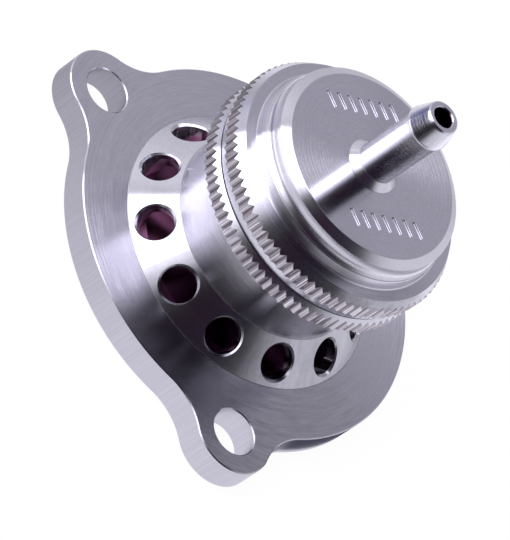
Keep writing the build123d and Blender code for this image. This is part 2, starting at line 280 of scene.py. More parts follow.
def level_face(loops, z, up=True):
    """Flat face at height z: triangles inside the first loop and outside the others, which are its openings."""
    flat = np.concatenate(loops)
    ends = np.cumsum([len(loop) for loop in loops])
    rings = [list(range(end - len(loop), end)) for loop, end in zip(loops, ends)]
    found = delaunay_2d_cdt(flat.tolist(), [], rings, 1, 1e-7)
    solid = [list(owner) == [0] for owner in found[5]]
    triangles = np.array(found[2])[solid]
    xy = np.array(found[0])
    points = np.column_stack((xy, np.full(len(xy), z)))
    return points, triangles if up else triangles[:, ::-1]


def knurl_wave():
    """The knurl's radius at every column: a V wave, which is the crest's radius less the depth times the distance
    from the nearest crest in half teeth."""
    phase = around() * teeth / (2 * np.pi) % 1
    return knurl_r - knurl_depth * (1 - np.abs(2 * phase - 1))


def knurl_outline(ease):
    """Closed outline of a knurl's lower edge: the wave less the edge's break."""
    return polar(knurl_wave() - ease, around())


def knurled(foot_z, crest_z, top_r, top_z, ease, rows=6):
    """Knurled band. Each column stands on the broken lower edge, rises along the wave to where it meets the cone
    above, which runs from the crest to the top, and follows that cone."""
    wave = knurl_wave()
    meet_z = crest_z + (knurl_r - wave) / (knurl_r - top_r) * (top_z - crest_z)
    t = np.linspace(0, 1, rows)[:, None]
    wall_z = foot_z + ease + t * (meet_z - foot_z - ease)
    r = np.concatenate(((wave - ease)[None], wave + 0 * wall_z, (wave + t * (top_r - wave))[1:]))
    z = np.concatenate((foot_z + 0 * wave[None], wall_z, (meet_z + t * (top_z - meet_z))[1:]))
    return ring_mesh(np.dstack((polar(r, around()), z)))


def flange_outline(inset):
    """Closed outline of the disc, its ears and their concave blends, moved inwards by inset. The arcs meet on the
    lines between their centres, whose angles come from the triangle of disc, ear and blend centre."""
    reach = flange_r + ear_blend_r
    span = ear_r + ear_blend_r
    turn = np.arccos((reach ** 2 + ear_distance ** 2 - span ** 2) / (2 * reach * ear_distance))
    lean = np.arccos((span ** 2 + ear_distance ** 2 - reach ** 2) / (2 * span * ear_distance))
    outline = []
    for a in ear_angles:
        outline += [
            arc((0, 0), flange_r - inset, a - 2 * np.pi / 3 + turn, a - turn, 160),
            arc(polar(reach, a - turn), ear_blend_r + inset, a - turn + np.pi, a + lean, 40),
            arc(polar(ear_distance, a), ear_r - inset, a - np.pi + lean, a + np.pi - lean, 120),
            arc(polar(reach, a + turn), ear_blend_r + inset, a - lean, a + turn - np.pi, 40),
        ]
    return np.concatenate(outline)


def body_solid():
    """The valve body in one closed skin: flange, turned outside and inside, and knurled collar. The neck has a row
    of points close to each end, which keeps its shading straight."""
    cone = np.linspace((cone_foot_r, flange_t), (neck_r, cone_top_z), 15)
    near = 0.05
    neck = [(neck_r, z) for z in (
        cone_top_z, cone_top_z + near, (cone_top_z + collar_z) / 2, collar_z - near, collar_z)]
    inside = [
        (collar_edge_r, joint_z), (spigot_r, joint_z), (spigot_r, cap_groove_z), (cap_groove_r, cap_groove_z),
        (cap_groove_r, cap_groove_top_z), (spigot_r, cap_groove_top_z), (spigot_r, spigot_z - turned_break),
        (spigot_r - turned_break, spigot_z), (bore_r + bore_lead, spigot_z), (bore_r, spigot_z - bore_lead),
        (bore_r, chamber_top_z), (chamber_top_r, chamber_top_z), (chamber_r, chamber_corner_z), (chamber_r, seat_t),
        (seat_r, seat_t), (seat_r, 0), (face_groove_in_r, 0), (face_groove_in_r, face_groove_depth),
        (face_groove_out_r, face_groove_depth), (face_groove_out_r, 0),
    ]
    count = 96
    ears = [polar(ear_distance, a) for a in ear_angles]
    top_r = ear_hole_r + rim_break
    foot_r = ear_hole_r + foot_break
    hole = [(top_r, flange_t), (ear_hole_r, flange_t - rim_break), (ear_hole_r, foot_break), (foot_r, 0)]
    hole_tops = [circle(top_r, ear, count) for ear in ears]
    hole_feet = [circle(foot_r, ear, count) for ear in ears]
    rim = [flange_outline(inset) for inset in (foot_break, skin_gap, skin_gap, rim_break)]
    parts = [
        turned(cone),
        turned(neck),
        level_face([knurl_outline(knurl_break), circle(neck_r)], collar_z, up=False),
        knurled(collar_z, collar_crest_z, collar_edge_r, joint_z, knurl_break),
        turned(inside),
        wall(rim, (0, foot_break, flange_t - rim_break, flange_t)),
        level_face([rim[-1], circle(cone_foot_r)] + hole_tops, flange_t),
        level_face([rim[0], circle(face_groove_out_r)] + hole_feet, 0, up=False),
    ]
    return parts + [turned(hole, count, ear) for ear in ears]


def vent_drills():
    """Closed drills with countersinks, turned in (u, v, w) and set square to the cone in the middle of its slope:
    u along the ring, v up the slope and w outwards. Each reaches past the cone's surface."""
    lead = vent_mouth_r - vent_r
    past = 1
    points, quads = turned([
        (0, -vent_depth), (vent_r, -vent_depth), (vent_r, -lead), (vent_mouth_r, 0), (vent_mouth_r + past, past),
        (0, past)], 72)
    slope = np.array((neck_r - cone_foot_r, cone_top_z - flange_t))
    slope = slope / np.linalg.norm(slope)
    a = first_vent + around(vent_count)
    u = np.column_stack((-np.sin(a), np.cos(a), 0 * a))
    v = np.column_stack((polar(slope[0], a), 0 * a + slope[1]))
    axes = np.stack((u, v, np.cross(u, v)), axis=1)
    middle = np.column_stack((polar((cone_foot_r + neck_r) / 2, a), 0 * a + (flange_t + cone_top_z) / 2))
    placed = np.einsum("pc,kcx->kpx", points, axes) + middle[:, None]
    return [(drill, quads) for drill in placed]


def bar_outline(centre, grow=0.0, inset=0.0, steps=14):
    """Closed outline of an engraved bar: two half circles joined by straight sides, longer and wider by grow, and
    then with its edge moved inwards by inset."""
    r = (mark_w + grow) / 2 - inset
    along = polar((mark_length - mark_w) / 2, bar_direction)
    quarter = np.pi / 2
    head = arc(centre + along, r, bar_direction - quarter, bar_direction + quarter, steps)
    tail = arc(centre - along, r, bar_direction + quarter, bar_direction + 3 * quarter, steps)
    return np.concatenate((head, tail))


def bar_centres():
    """Centre of each engraved bar, the bars of a row on both sides of the row's middle."""
    step = (np.arange(mark_count) - (mark_count - 1) / 2) * mark_pitch
    return np.concatenate([polar(step, mark_direction) + np.array(middle) for middle in mark_rows])


def cap_solid():
    """The cap in one closed skin: foot, knurled band, shoulder, riser, cove, engraved face and hollow inside. The
    cove is the parabola (1-t)^2 A + 2t(1-t) B + t^2 C from the lip A towards the bend B and up to its top C."""
    foot_z = joint_z + joint_gap
    foot = eased([(cap_foot_in_r, foot_z), (cap_foot_r, foot_z), cap_step_foot, (cap_step_r, cap_band_z)], 0.12)
    fillet = arc((riser_fillet_r, shoulder_z + riser_fillet), riser_fillet, -np.pi / 2, -np.pi, 8)
    lip_in = (lip_r - lip_break, lip_z)
    lip = eased([riser_top, (lip_r, lip_z - lip_break), lip_in], 0.04)
    crown = np.concatenate(([(shoulder_r, shoulder_z)], fillet, np.linspace(riser_foot, riser_top, 9), lip[1:]))
    t = np.linspace(0, 1, 25)[:, None]
    cove = (1 - t) ** 2 * np.array(lip_in) + 2 * t * (1 - t) * np.array(cove_bend) + t ** 2 * np.array(cove_top)
    rim = eased([cove_top, (face_r, face_z), (face_r - face_rim_w, face_z)], 0.1)
    thread_r = stub_r + fit
    inside = [
        (nipple_seat_r, face_z), (nipple_seat_r, face_z - nipple_seat_depth), (thread_r, face_z - nipple_seat_depth),
        (thread_r, boss_z), (boss_r, boss_z), (boss_r, ceiling_z), (recess_r, ceiling_z), (recess_r, joint_z),
        (cap_foot_in_r, joint_z), (cap_foot_in_r, foot_z),
    ]
    bars = [bar_outline(c, grow=2 * mark_break) for c in bar_centres()]
    parts = [
        turned(foot),
        wall((circle(cap_step_r), knurl_outline(0)), (cap_band_z, cap_band_z)),
        knurled(cap_band_z, cap_crest_z, shoulder_r, shoulder_z, 0),
        turned(crown),
        turned(cove),
        turned(rim),
        level_face([circle(face_r - face_rim_w), circle(nipple_seat_r)] + bars, face_z),
        turned(inside),
    ]
    for centre, bar in zip(bar_centres(), bars):
        floor = bar_outline(centre, inset=mark_taper)
        parts.append(wall((bar, bar_outline(centre), floor), (face_z, face_z - mark_break, face_z - mark_depth)))
        parts.append(level_face([floor], face_z - mark_depth))
    return parts


def nipple_solid():
    """The hose nipple: foot, shank, barb with its taper and rounded tip, and the bore through it. The taper is a
    straight line from the land to the tip, raised by 4 t (1-t) times its sag."""
    land_z = barb_z + barb_back_h
    taper_z = land_z + barb_land_h
    round_z = nipple_top_z - tip_round
    foot = [
        (stub_r, boss_z), (stub_r, face_z), (nipple_foot_r - nipple_foot_break, face_z),
        (nipple_foot_r, face_z + nipple_foot_break), (shank_r, shank_z), (shank_r, barb_z), (barb_r, land_z),
        (barb_r, taper_z),
    ]
    t = np.linspace(0, 1, 13)[:, None]
    taper = (1 - t) * np.array((barb_r, taper_z)) + t * np.array((tip_r, round_z))
    taper = taper + np.array((4 * barb_taper_sag, 0)) * t * (1 - t)
    mouth = [
        (tip_r, round_z), (tip_r - tip_round_mid, nipple_top_z - tip_round_mid), (tip_r - tip_round, nipple_top_z),
        (nipple_bore_r + nipple_bore_break, nipple_top_z), (nipple_bore_r, nipple_top_z - nipple_bore_break),
        (nipple_bore_r, boss_z), (stub_r, boss_z),
    ]
    return [turned(np.concatenate((eased(foot, 0.05), taper[1:-1], eased(mouth, 0.05))), 256)]


def extent(node):
    """Outer radius, foot and top of a round CAD piece in millimetres."""
    corner, far_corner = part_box(node)
    return far_corner.x / MM, corner.z / MM, far_corner.z / MM


def turned_ring(corners, count=192, ease=0.06):
    """Ring turned from the corners of its section, begun and ended in the middle of the section's last side."""
    p = np.asarray(corners, float)
    middle = (p[:1] + p[-1:]) / 2
    return [turned(eased(np.concatenate((middle, p, middle)), ease), count)]


def flat_ring(node, inner_r):
    """Plain ring of rectangular section that fills the CAD piece's height and outer radius."""
    outer_r, foot_z, top_z = extent(node)
    return turned_ring([(outer_r, foot_z), (outer_r, top_z), (inner_r, top_z), (inner_r, foot_z)])


def cord_ring(node):
    """Torus: the cord's circle (m + c cos b, z + c sin b) carried round the axis, c half the CAD piece's height."""
    outer_r, foot_z, top_z = extent(node)
    cord_r = (top_z - foot_z) / 2
    b = np.linspace(-np.pi / 2, 3 * np.pi / 2, 29)
    return [turned(np.array((outer_r - cord_r, foot_z + cord_r)) + polar(cord_r, b), 256)]


def valve_seat_ring():
    """Press-in seat: plate with its ring groove, inlet and raised lip."""
    outer_r, foot_z, top_z = extent("valve_seat")
    return turned_ring([
        (outer_r, foot_z), (outer_r, seat_groove_z), (seat_groove_r, seat_groove_z),
        (seat_groove_r, seat_t - seat_groove_z), (outer_r, seat_t - seat_groove_z), (outer_r, seat_t),
        (seat_tube_r, seat_t), (seat_tube_r, top_z - seat_lip_out_h), (seat_lip_out_r, top_z), (seat_lip_in_r, top_z),
        (inlet_r, top_z - seat_lip_in_h), (inlet_r, turned_break), (inlet_r + turned_break, foot_z),
    ], 320)


def piston_ring():
    """Piston: nose with the seal's pocket, skirt with its three grooves, and the cup for the spring."""
    skirt_r, nose_z, top_z = extent("piston")
    grooves = []
    for z, width, r in ((lower_groove_z, ring_groove_w, ring_groove_r), (band_groove_z, band_groove_w, band_groove_r),
                        (upper_groove_z, ring_groove_w, ring_groove_r)):
        grooves += [(skirt_r, z), (r, z), (r, z + width), (skirt_r, z + width)]
    return turned_ring([
        (seal_pocket_r, seal_top_z), (seal_pocket_r, nose_z), (nose_r - nose_break, nose_z),
        (nose_r, nose_z + nose_break), (nose_r, skirt_z), (skirt_r - turned_break, skirt_z),
        (skirt_r, skirt_z + turned_break), *grooves, (skirt_r, top_z - turned_break),
        (skirt_r - turned_break, top_z), (cup_r, top_z), (cup_r, cup_floor_z), (screw_r + fit, cup_floor_z),
        (screw_r + fit, seal_top_z),
    ], 320, 0.04)


def seal_retainer_ring():
    """Retainer: a disc under the seal with a hub through it, countersunk for the screw."""
    outer_r, foot_z, hub_z = extent("seal_retainer")
    disc_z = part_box("nose_seal")[0].z / MM
    hub_r = seal_in_r - fit
    return turned_ring([
        (outer_r, foot_z), (outer_r, disc_z), (hub_r, disc_z), (hub_r, hub_z), (screw_r + fit, hub_z),
        (screw_r + fit, foot_z + screw_head_r - screw_r), (screw_head_r + fit, foot_z),
    ], ease=0.04)


def spring_guide_ring():
    """Guide bush: a tube inside the spring and a flange above it."""
    outer_r, foot_z, top_z = extent("spring_guide")
    flange_z = top_z - guide_flange_t
    return turned_ring([
        (guide_tube_r, foot_z), (guide_tube_r, flange_z), (outer_r, flange_z), (outer_r, top_z),
        (boss_r + fit, top_z), (boss_r + fit, foot_z),
    ])


def screw_surfaces():
    """Countersunk screw, head down, with a hexagon socket."""
    foot_z, top_z = extent("retainer_screw")[1:]
    count = 96
    neck_z = foot_z + screw_head_r - screw_r
    socket_z = foot_z + hex_depth
    socket = polar(hex_w / np.sqrt(3), np.radians(30 + 60 * np.arange(6)))
    outside = eased([
        (screw_head_r - screw_break, foot_z), (screw_head_r, foot_z + screw_break), (screw_r, neck_z),
        (screw_r, top_z - turned_break), (screw_r - turned_break, top_z), (0, top_z)], 0.03)
    return [
        turned(outside, count),
        level_face([circle(screw_head_r - screw_break, count=count), socket], foot_z, up=False),
        wall((socket, socket), (socket_z, foot_z)),
        level_face([socket], socket_z, up=False),
    ]


def spring_surfaces(count=20):
    """Round wire along a helix, ground flat at its ends. A ring that the end plane cuts keeps its arc on the inner
    side: its points go evenly from asin c to pi - asin c, where c is how far the plane lies from the wire's middle
    in wire radii. The upper half is the lower one given half a turn about a level line."""
    foot_z, top_z = extent("return_spring")[1:]
    height = top_z - foot_z
    rise = height / (coil_turns - 1) / (2 * np.pi)
    slant = np.hypot(coil_r, rise)
    ground = 0.97
    sweep = (height / 2 + ground * wire_r * coil_r / slant) / rise
    a = np.linspace(-sweep, 0, 340)[:, None]
    cut = np.arcsin(np.clip((-height / 2 - rise * a) * slant / (wire_r * coil_r), -1, 1))
    b = (cut + (np.arange(count) + 0.5) / count * (np.pi - 2 * cut))[:, ::-1]
    out = coil_r + wire_r * np.cos(b)
    lift = wire_r * np.sin(b) / slant
    turn = a + np.pi * coil_turns
    x = out * np.cos(turn) + lift * rise * np.sin(turn)
    y = out * np.sin(turn) - lift * rise * np.cos(turn)
    z = rise * a + lift * coil_r
    grid = np.stack((x, y, z), axis=-1)
    grid = np.concatenate((grid[:1].mean(axis=1, keepdims=True) + 0 * grid[:1], grid))
    lower, quads = ring_mesh(grid)
    level = np.array((np.cos(np.pi * coil_turns), np.sin(np.pi * coil_turns), 0))
    upper = 2 * np.outer(lower @ level, level) - lower
    middle = (0, 0, (foot_z + top_z) / 2)
    return [(lower + middle, quads), (upper + middle, quads)]


def mesh_from(name, parts):
    """One mesh from several surfaces, with the rims that they share welded."""
    weld_gap = 0.0005
    ends = np.cumsum([0] + [len(points) for points, _ in parts])
    points = np.concatenate([points for points, _ in parts]) * MM
    corners = np.concatenate([(faces + start).ravel() for (_, faces), start in zip(parts, ends)])
    sizes = np.concatenate([np.full(len(faces), faces.shape[1]) for _, faces in parts])
    mesh = bpy.data.meshes.new(name)
    mesh.vertices.add(len(points))
    mesh.vertices.foreach_set("co", points.ravel().astype(np.float32))
    mesh.loops.add(len(corners))
    mesh.loops.foreach_set("vertex_index", corners.astype(np.int32))
    mesh.polygons.add(len(sizes))
    mesh.polygons.foreach_set("loop_start", (np.cumsum(sizes) - sizes).astype(np.int32))
    mesh.update(calc_edges=True)
    welded = bmesh.new()
    welded.from_mesh(mesh)
    bmesh.ops.remove_doubles(welded, verts=welded.verts, dist=weld_gap * MM)
    welded.to_mesh(mesh)
    welded.free()
    mesh.validate()
    return mesh


def smooth(mesh, crease=28.0):
    """Smooth shading, with an edge kept sharp where its faces turn by more than crease degrees."""
    mesh.shade_smooth()
    mesh.set_sharp_from_angle(angle=np.radians(crease))


def cut_out(mesh, tool_mesh):
    """The mesh with the tool's solid taken out of it."""
    blank = bpy.data.objects.new("blank", mesh)
    tool = bpy.data.objects.new("tool", tool_mesh)
    for o in (blank, tool):
        bpy.context.scene.collection.objects.link(o)
    cut = blank.modifiers.new("cut", "BOOLEAN")
    cut.operation = "DIFFERENCE"
    cut.solver = "MANIFOLD"
    cut.object = tool
    result = bpy.data.meshes.new_from_object(blank.evaluated_get(bpy.context.evaluated_depsgraph_get()))
    for o in (blank, tool):
        bpy.data.objects.remove(o)
    return result


def read_all(items, field, width, kind=np.float32):
    """One field of all the items of a mesh, as an array with a row of the given width for each."""
    values = np.empty(len(items) * width, kind)
    items.foreach_get(field, values)
    return values.reshape(-1, width) if width > 1 else values


def true_cone_normals(mesh):
    """Turns the corner normals on the vent cone each to its own azimuth a: (c cos a, c sin a, s), with the cone's own
    c and s. The others stay as shaded."""
    on_cone_cosine = 0.9995
    slope = np.array((cone_top_z - flange_t, cone_foot_r - neck_r))
    c, s = slope / np.linalg.norm(slope)
    normals = read_all(mesh.corner_normals, "vector", 3)
    place = read_all(mesh.vertices, "co", 3)[read_all(mesh.loops, "vertex_index", 1, np.int32)]
    sizes = read_all(mesh.polygons, "loop_total", 1, np.int32)
    flat = np.repeat(read_all(mesh.polygons, "normal", 3), sizes, axis=0)
    a = np.arctan2(place[:, 1], place[:, 0])
    ideal = np.column_stack((polar(c, a), 0 * a + s))
    on_cone = (ideal * flat).sum(axis=1) > on_cone_cosine
    normals[on_cone] = ideal[on_cone]
    mesh.normals_split_custom_set(normals)


def give_finish(mesh, finish, foot_z, top_z, in_r, out_r):
    """Gives another finish to the upright faces between two heights and two distances from the axis."""
    mesh.materials.append(finish)
    x, y, z = read_all(mesh.polygons, "center", 3).T / MM
    r = np.hypot(x, y)
    upright = np.abs(read_all(mesh.polygons, "normal", 3)[:, 2]) < 0.1
    chosen = read_all(mesh.polygons, "material_index", 1, np.int32)
    chosen[upright & (z > foot_z) & (z < top_z) & (r > in_r) & (r < out_r)] = len(mesh.materials) - 1
    mesh.polygons.foreach_set("material_index", chosen)


def show(name, mesh, finish, body, node, slot):
    """Puts a finished mesh in the scene in place of its CAD node."""
    piece = bpy.data.objects.new(name, mesh)
    bpy.context.scene.collection.objects.link(piece)
    mesh.materials.clear()
    mesh.materials.append(finish)
    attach(piece, body)
    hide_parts(node)
    return piece


def node_adder(tree):
    """A function that adds a node with its settings. Each input is a value, or a socket or node to link from."""
    def add(kind, inputs, **settings):
        node = tree.nodes.new(kind)
        for key, value in settings.items():
            setattr(node, key, value)
        for key, value in inputs.items():
            if isinstance(value, bpy.types.Node):
                value = value.outputs[0]
            if isinstance(value, bpy.types.NodeSocket):
                tree.links.new(value, node.inputs[key])
            else:
                node.inputs[key].default_value = value
        return node
    return add


def blank_material(name):
    """An empty node material and the node adder for it."""
    material = bpy.data.materials.new(name)
    material.use_nodes = True
    material.node_tree.nodes.clear()
    return material, node_adder(material.node_tree)


def maths(add, operation, *values):
    """Number from an arithmetic node."""
    return add("ShaderNodeMath", dict(enumerate(values)), operation=operation)


def vectors(add, operation, *values):
    """Vector from a vector node."""
    return add("ShaderNodeVectorMath", dict(enumerate(values)), operation=operation)


def measured(add, operation, *values):
    """Number from a vector node: a length, a distance or a dot product."""
    return add("ShaderNodeVectorMath", dict(enumerate(values)), operation=operation).outputs["Value"]


def scaled(add, vector, scale):
    """Vector or colour times a number."""
    return add("ShaderNodeVectorMath", {0: vector, "Scale": scale}, operation="SCALE")


def remap(add, value, start, end, first=0.0, last=1.0, soft=False):
    """First up to where the value is start, last from where it is end, and a straight or soft change between."""
    return add("ShaderNodeMapRange", {0: value, 1: start, 2: end, 3: first, 4: last},
               interpolation_type="SMOOTHSTEP" if soft else "LINEAR")


def mixed(add, share, first, second):
    """Colour that goes from the first to the second with the share."""
    return add("ShaderNodeMix", {0: share, 6: first, 7: second}, data_type="RGBA").outputs[2]


def noise(add, place, scale, detail, roughness=0.5):
    """Noise in space."""
    return add("ShaderNodeTexNoise", {"Vector": place, "Scale": scale, "Detail": detail, "Roughness": roughness})


def stretched(add, value, first, last):
    """Noise, of which nearly all lies between 0.3 and 0.7, stretched to run from first to last."""
    return remap(add, value, 0.3, 0.7, first, last)


def level_length(add, axes):
    """Length of a vector's level part, from its axes."""
    return measured(add, "LENGTH", add("ShaderNodeCombineXYZ", {0: axes[0], 1: axes[1]}))


def cylinder_coordinates(add):
    """Place on the object in millimetres, its distance from the axis, its height, and the way round the axis."""
    place = add("ShaderNodeTexCoord", {})
    mm = scaled(add, place.outputs["Object"], 1 / MM)
    axes = add("ShaderNodeSeparateXYZ", {0: mm}).outputs
    back = maths(add, "MULTIPLY", axes[1], -1.0)
    tangent = add("ShaderNodeCombineXYZ", {0: back, 1: axes[0]})
    return mm, level_length(add, axes), axes[2], vectors(add, "NORMALIZE", tangent)


def side_cosine(add, tangent, azimuth):
    """Cosine of the angle round the axis from an azimuth in degrees, 1 on that side and -1 on the other."""
    a = np.radians(azimuth + 90)
    return measured(add, "DOT_PRODUCT", tangent, (np.cos(a), np.sin(a), 0))


def under_the_vents(add, radius, height):
    """Where painted shade darkens the metal: 0 at the vents' mouths to 1 in the chamber, by depth under the
    cone's surface.
    """
    shade_start_depth, shade_full_depth = 0.4, 2.0
    run = cone_foot_r - neck_r
    rise = cone_top_z - flange_t
    slant = np.hypot(run, rise)
    inwards = maths(add, "MULTIPLY_ADD", radius, -rise / slant, (cone_foot_r * rise + flange_t * run) / slant)
    depth = maths(add, "MULTIPLY_ADD", height, -run / slant, inwards)
    deep = remap(add, depth, shade_start_depth, shade_full_depth, soft=True)
    return maths(add, "MULTIPLY", deep, maths(add, "LESS_THAN", radius, seat_r + 0.2))


def above_the_seat(add, radius, height):
    """Where painted shade covers the seat: 0 on its underside and in its inlet's mouth, 1 in the chamber."""
    return remap(add, height, seat_t - 0.8, seat_t - 0.1)


def inside_the_bore(add, radius, height):
    """Where painted shade covers the nipple: 1 on the wall of its bore, 0 elsewhere."""
    return remap(add, radius, nipple_bore_r + 0.05, nipple_bore_r + 0.15, 1.0, 0.0)


def inner_shade(add, tangent, radius):
    """Colour of the painted shade inside, and how much rougher the metal is there. It is near black, with a painted
    maroon light on the chamber's left side. In the nipple's bore it is dark and smooth."""
    glow_azimuth = -138
    roughening = 0.42
    chamber = maths(add, "GREATER_THAN", radius, shank_r)
    # Painted light: maroon on the chamber's side towards azimuth -138.
    glow = remap(add, side_cosine(add, tangent, glow_azimuth), 0.3, 0.85, soft=True)
    glow = maths(add, "MULTIPLY", glow, chamber)
    shade_colour = mixed(add, glow, (0.07, 0.015, 0.06, 1), (0.40, 0.155, 0.30, 1))
    return shade_colour, maths(add, "MULTIPLY", chamber, roughening)


def painted_side_shade(add, tangent, height, streaks, azimuth, spread, foot_z, top_z, tone):
    """Tone of metal with a painted shade on the side facing one azimuth and between two heights, 1 elsewhere. The
    spread is the cosine at which the painted shade begins. The tool's streaks show in the painted shade."""
    side = remap(add, side_cosine(add, tangent, azimuth), spread, 1.0, soft=True)
    above = remap(add, height, foot_z - 0.05, foot_z)
    below = remap(add, height, top_z - 0.02 * abs(top_z - foot_z), top_z, 1.0, 0.0)
    share = maths(add, "MULTIPLY", side, maths(add, "MULTIPLY", above, below))
    change = stretched(add, streaks, 0.35 * (tone - 1), 1.65 * (tone - 1))
    return maths(add, "MULTIPLY_ADD", share, change, 1.0)


def corner_lines(add, radius, height, corners):
    """1 on a thin line round each corner of the profile, given as radius and height, 0 elsewhere."""
    line_edge = (0.04, 0.10)
    spot = add("ShaderNodeCombineXYZ", {0: radius, 1: height})
    nearest = 1.0
    for corner_r, corner_z in corners:
        gap = measured(add, "DISTANCE", spot, (corner_r, corner_z, 0))
        nearest = maths(add, "MINIMUM", gap, nearest)
    return remap(add, nearest, *line_edge, 1.0, 0.0)


def turned_metal(name, colour, roughness, line_pitch=0.25, contrast=0.1, depth=0.01, shaded_inside=None, shaded_side=None,
                 corners=(), rougher=None):
    """Metal turned on a lathe: fine rings round the axis, a fine grain, arcs where the tool has dragged, and a gloss
    that they spread across themselves. Painted shade, near black with a painted maroon light on one side, covers what
    the inside-shade function finds, one side gets painted shade as in the side-shade function, and the corners are
    rubbed to a rough line. Where rougher gives a height and an amount, the arcs change the gloss too, and all below
    the height is rougher by the amount."""
    gloss_change = 0.03
    corner_change = 0.5
    material, add = blank_material(name)
    mm, radius, height, tangent = cylinder_coordinates(add)
    along = maths(add, "ADD", radius, height)
    rings = add("ShaderNodeTexNoise", {"W": along, "Scale": 1 / line_pitch, "Detail": 4.0, "Roughness": 0.7},
                noise_dimensions="1D")
    grain = noise(add, mm, 5.0, 2.0, 0.7)
    rise = add("ShaderNodeCombineXYZ", {2: maths(add, "MULTIPLY", along, 1.3)})
    arcs = noise(add, vectors(add, "ADD", scaled(add, tangent, 5.0), rise), 1.0, 6.0, 0.8)
    tone = stretched(add, rings, 1 - contrast, 1 + contrast)
    tone = maths(add, "MULTIPLY", tone, stretched(add, grain, 0.95, 1.05))
    tone = maths(add, "MULTIPLY", tone, stretched(add, arcs, 1 - 2 * contrast, 1 + 2 * contrast))
    # Painted shade on one side of the piece, darkening its tone.
    if shaded_side:
        tone = maths(add, "MULTIPLY", tone, painted_side_shade(add, tangent, height, arcs, **shaded_side))
    tint = scaled(add, colour, tone)
    rough = stretched(add, rings, roughness - gloss_change, roughness + gloss_change)
    if rougher:
        rough_z, amount = rougher
        rough = maths(add, "ADD", rough, stretched(add, arcs, -gloss_change, gloss_change))
        rough = maths(add, "ADD", rough, remap(add, height, rough_z, rough_z + 0.1, amount, 0.0))
    if corners:
        rough = maths(add, "MULTIPLY_ADD", corner_lines(add, radius, height, corners), corner_change, rough)
    # Painted shade inside the chamber and the bore, near black with a painted maroon light.
    if shaded_inside:
        in_shade = shaded_inside(add, radius, height)
        shade_colour, haze = inner_shade(add, tangent, radius)
        tint = mixed(add, in_shade, tint, shade_colour)
        rough = maths(add, "MULTIPLY_ADD", in_shade, haze, rough)
    bump = add("ShaderNodeBump", {"Strength": 1.0, "Distance": depth * MM, "Height": rings})
    shader = add("ShaderNodeBsdfPrincipled", {
        "Base Color": tint, "Metallic": 1.0, "Roughness": rough, "Anisotropic": 1.0, "Anisotropic Rotation": 0.25,
        "Tangent": tangent, "Normal": bump})
    add("ShaderNodeOutputMaterial", {0: shader})
    return material


def milled_metal(name, light, dark, roughness, line_pitch, depth, valley_shade_tone=1.0, shaded_side=None):
    """Metal cut along its height by a mill or a knurling wheel: upright lines, light and dark, from a noise drawn out
    a hundredfold in z, and a gloss spread sideways. The knurl's valleys may get painted shade, and so may one side."""
    material, add = blank_material(name)
    mm, radius, height, tangent = cylinder_coordinates(add)
    lines = noise(add, vectors(add, "MULTIPLY", mm, (1, 1, 0.01)), 1 / line_pitch, 3.0, 0.6)
    tint = mixed(add, remap(add, lines, 0.35, 0.65), (*dark, 1), (*light, 1))
    # Painted shade in the knurl's valleys: darker towards the roots of the teeth.
    if valley_shade_tone < 1:
        unshaded_r = knurl_r - 0.45 * knurl_depth
        tint = scaled(add, tint, remap(add, radius, knurl_r - knurl_depth, unshaded_r, valley_shade_tone, 1.0))
    # Painted shade on one side of the piece, darkening its tone.
    if shaded_side:
        tint = scaled(add, tint, painted_side_shade(add, tangent, height, lines, **shaded_side))
    bump = add("ShaderNodeBump", {"Strength": 1.0, "Distance": depth * MM, "Height": lines})
    shader = add("ShaderNodeBsdfPrincipled", {
        "Base Color": tint, "Metallic": 1.0, "Roughness": roughness, "Anisotropic": 0.8, "Tangent": tangent,
        "Normal": bump})
    add("ShaderNodeOutputMaterial", {0: shader})
    return material


def mottled(name, colour, roughness, scale, detail=3.0, metallic=0.0, bump=0.0):
    """Plain finish with a faint mottle in its roughness, from the least to the most, and in its surface."""
    material, add = blank_material(name)
    place = add("ShaderNodeTexCoord", {})
    mottle = noise(add, place.outputs["Object"], scale, detail)
    inputs = {"Base Color": (*colour, 1), "Metallic": metallic,
              "Roughness": remap(add, mottle, 0.0, 1.0, *roughness)}
    if bump:
        inputs["Normal"] = add("ShaderNodeBump", {"Strength": bump, "Distance": 0.02 * MM, "Height": mottle})
    shader = add("ShaderNodeBsdfPrincipled", inputs)
    add("ShaderNodeOutputMaterial", {0: shader})
    return material


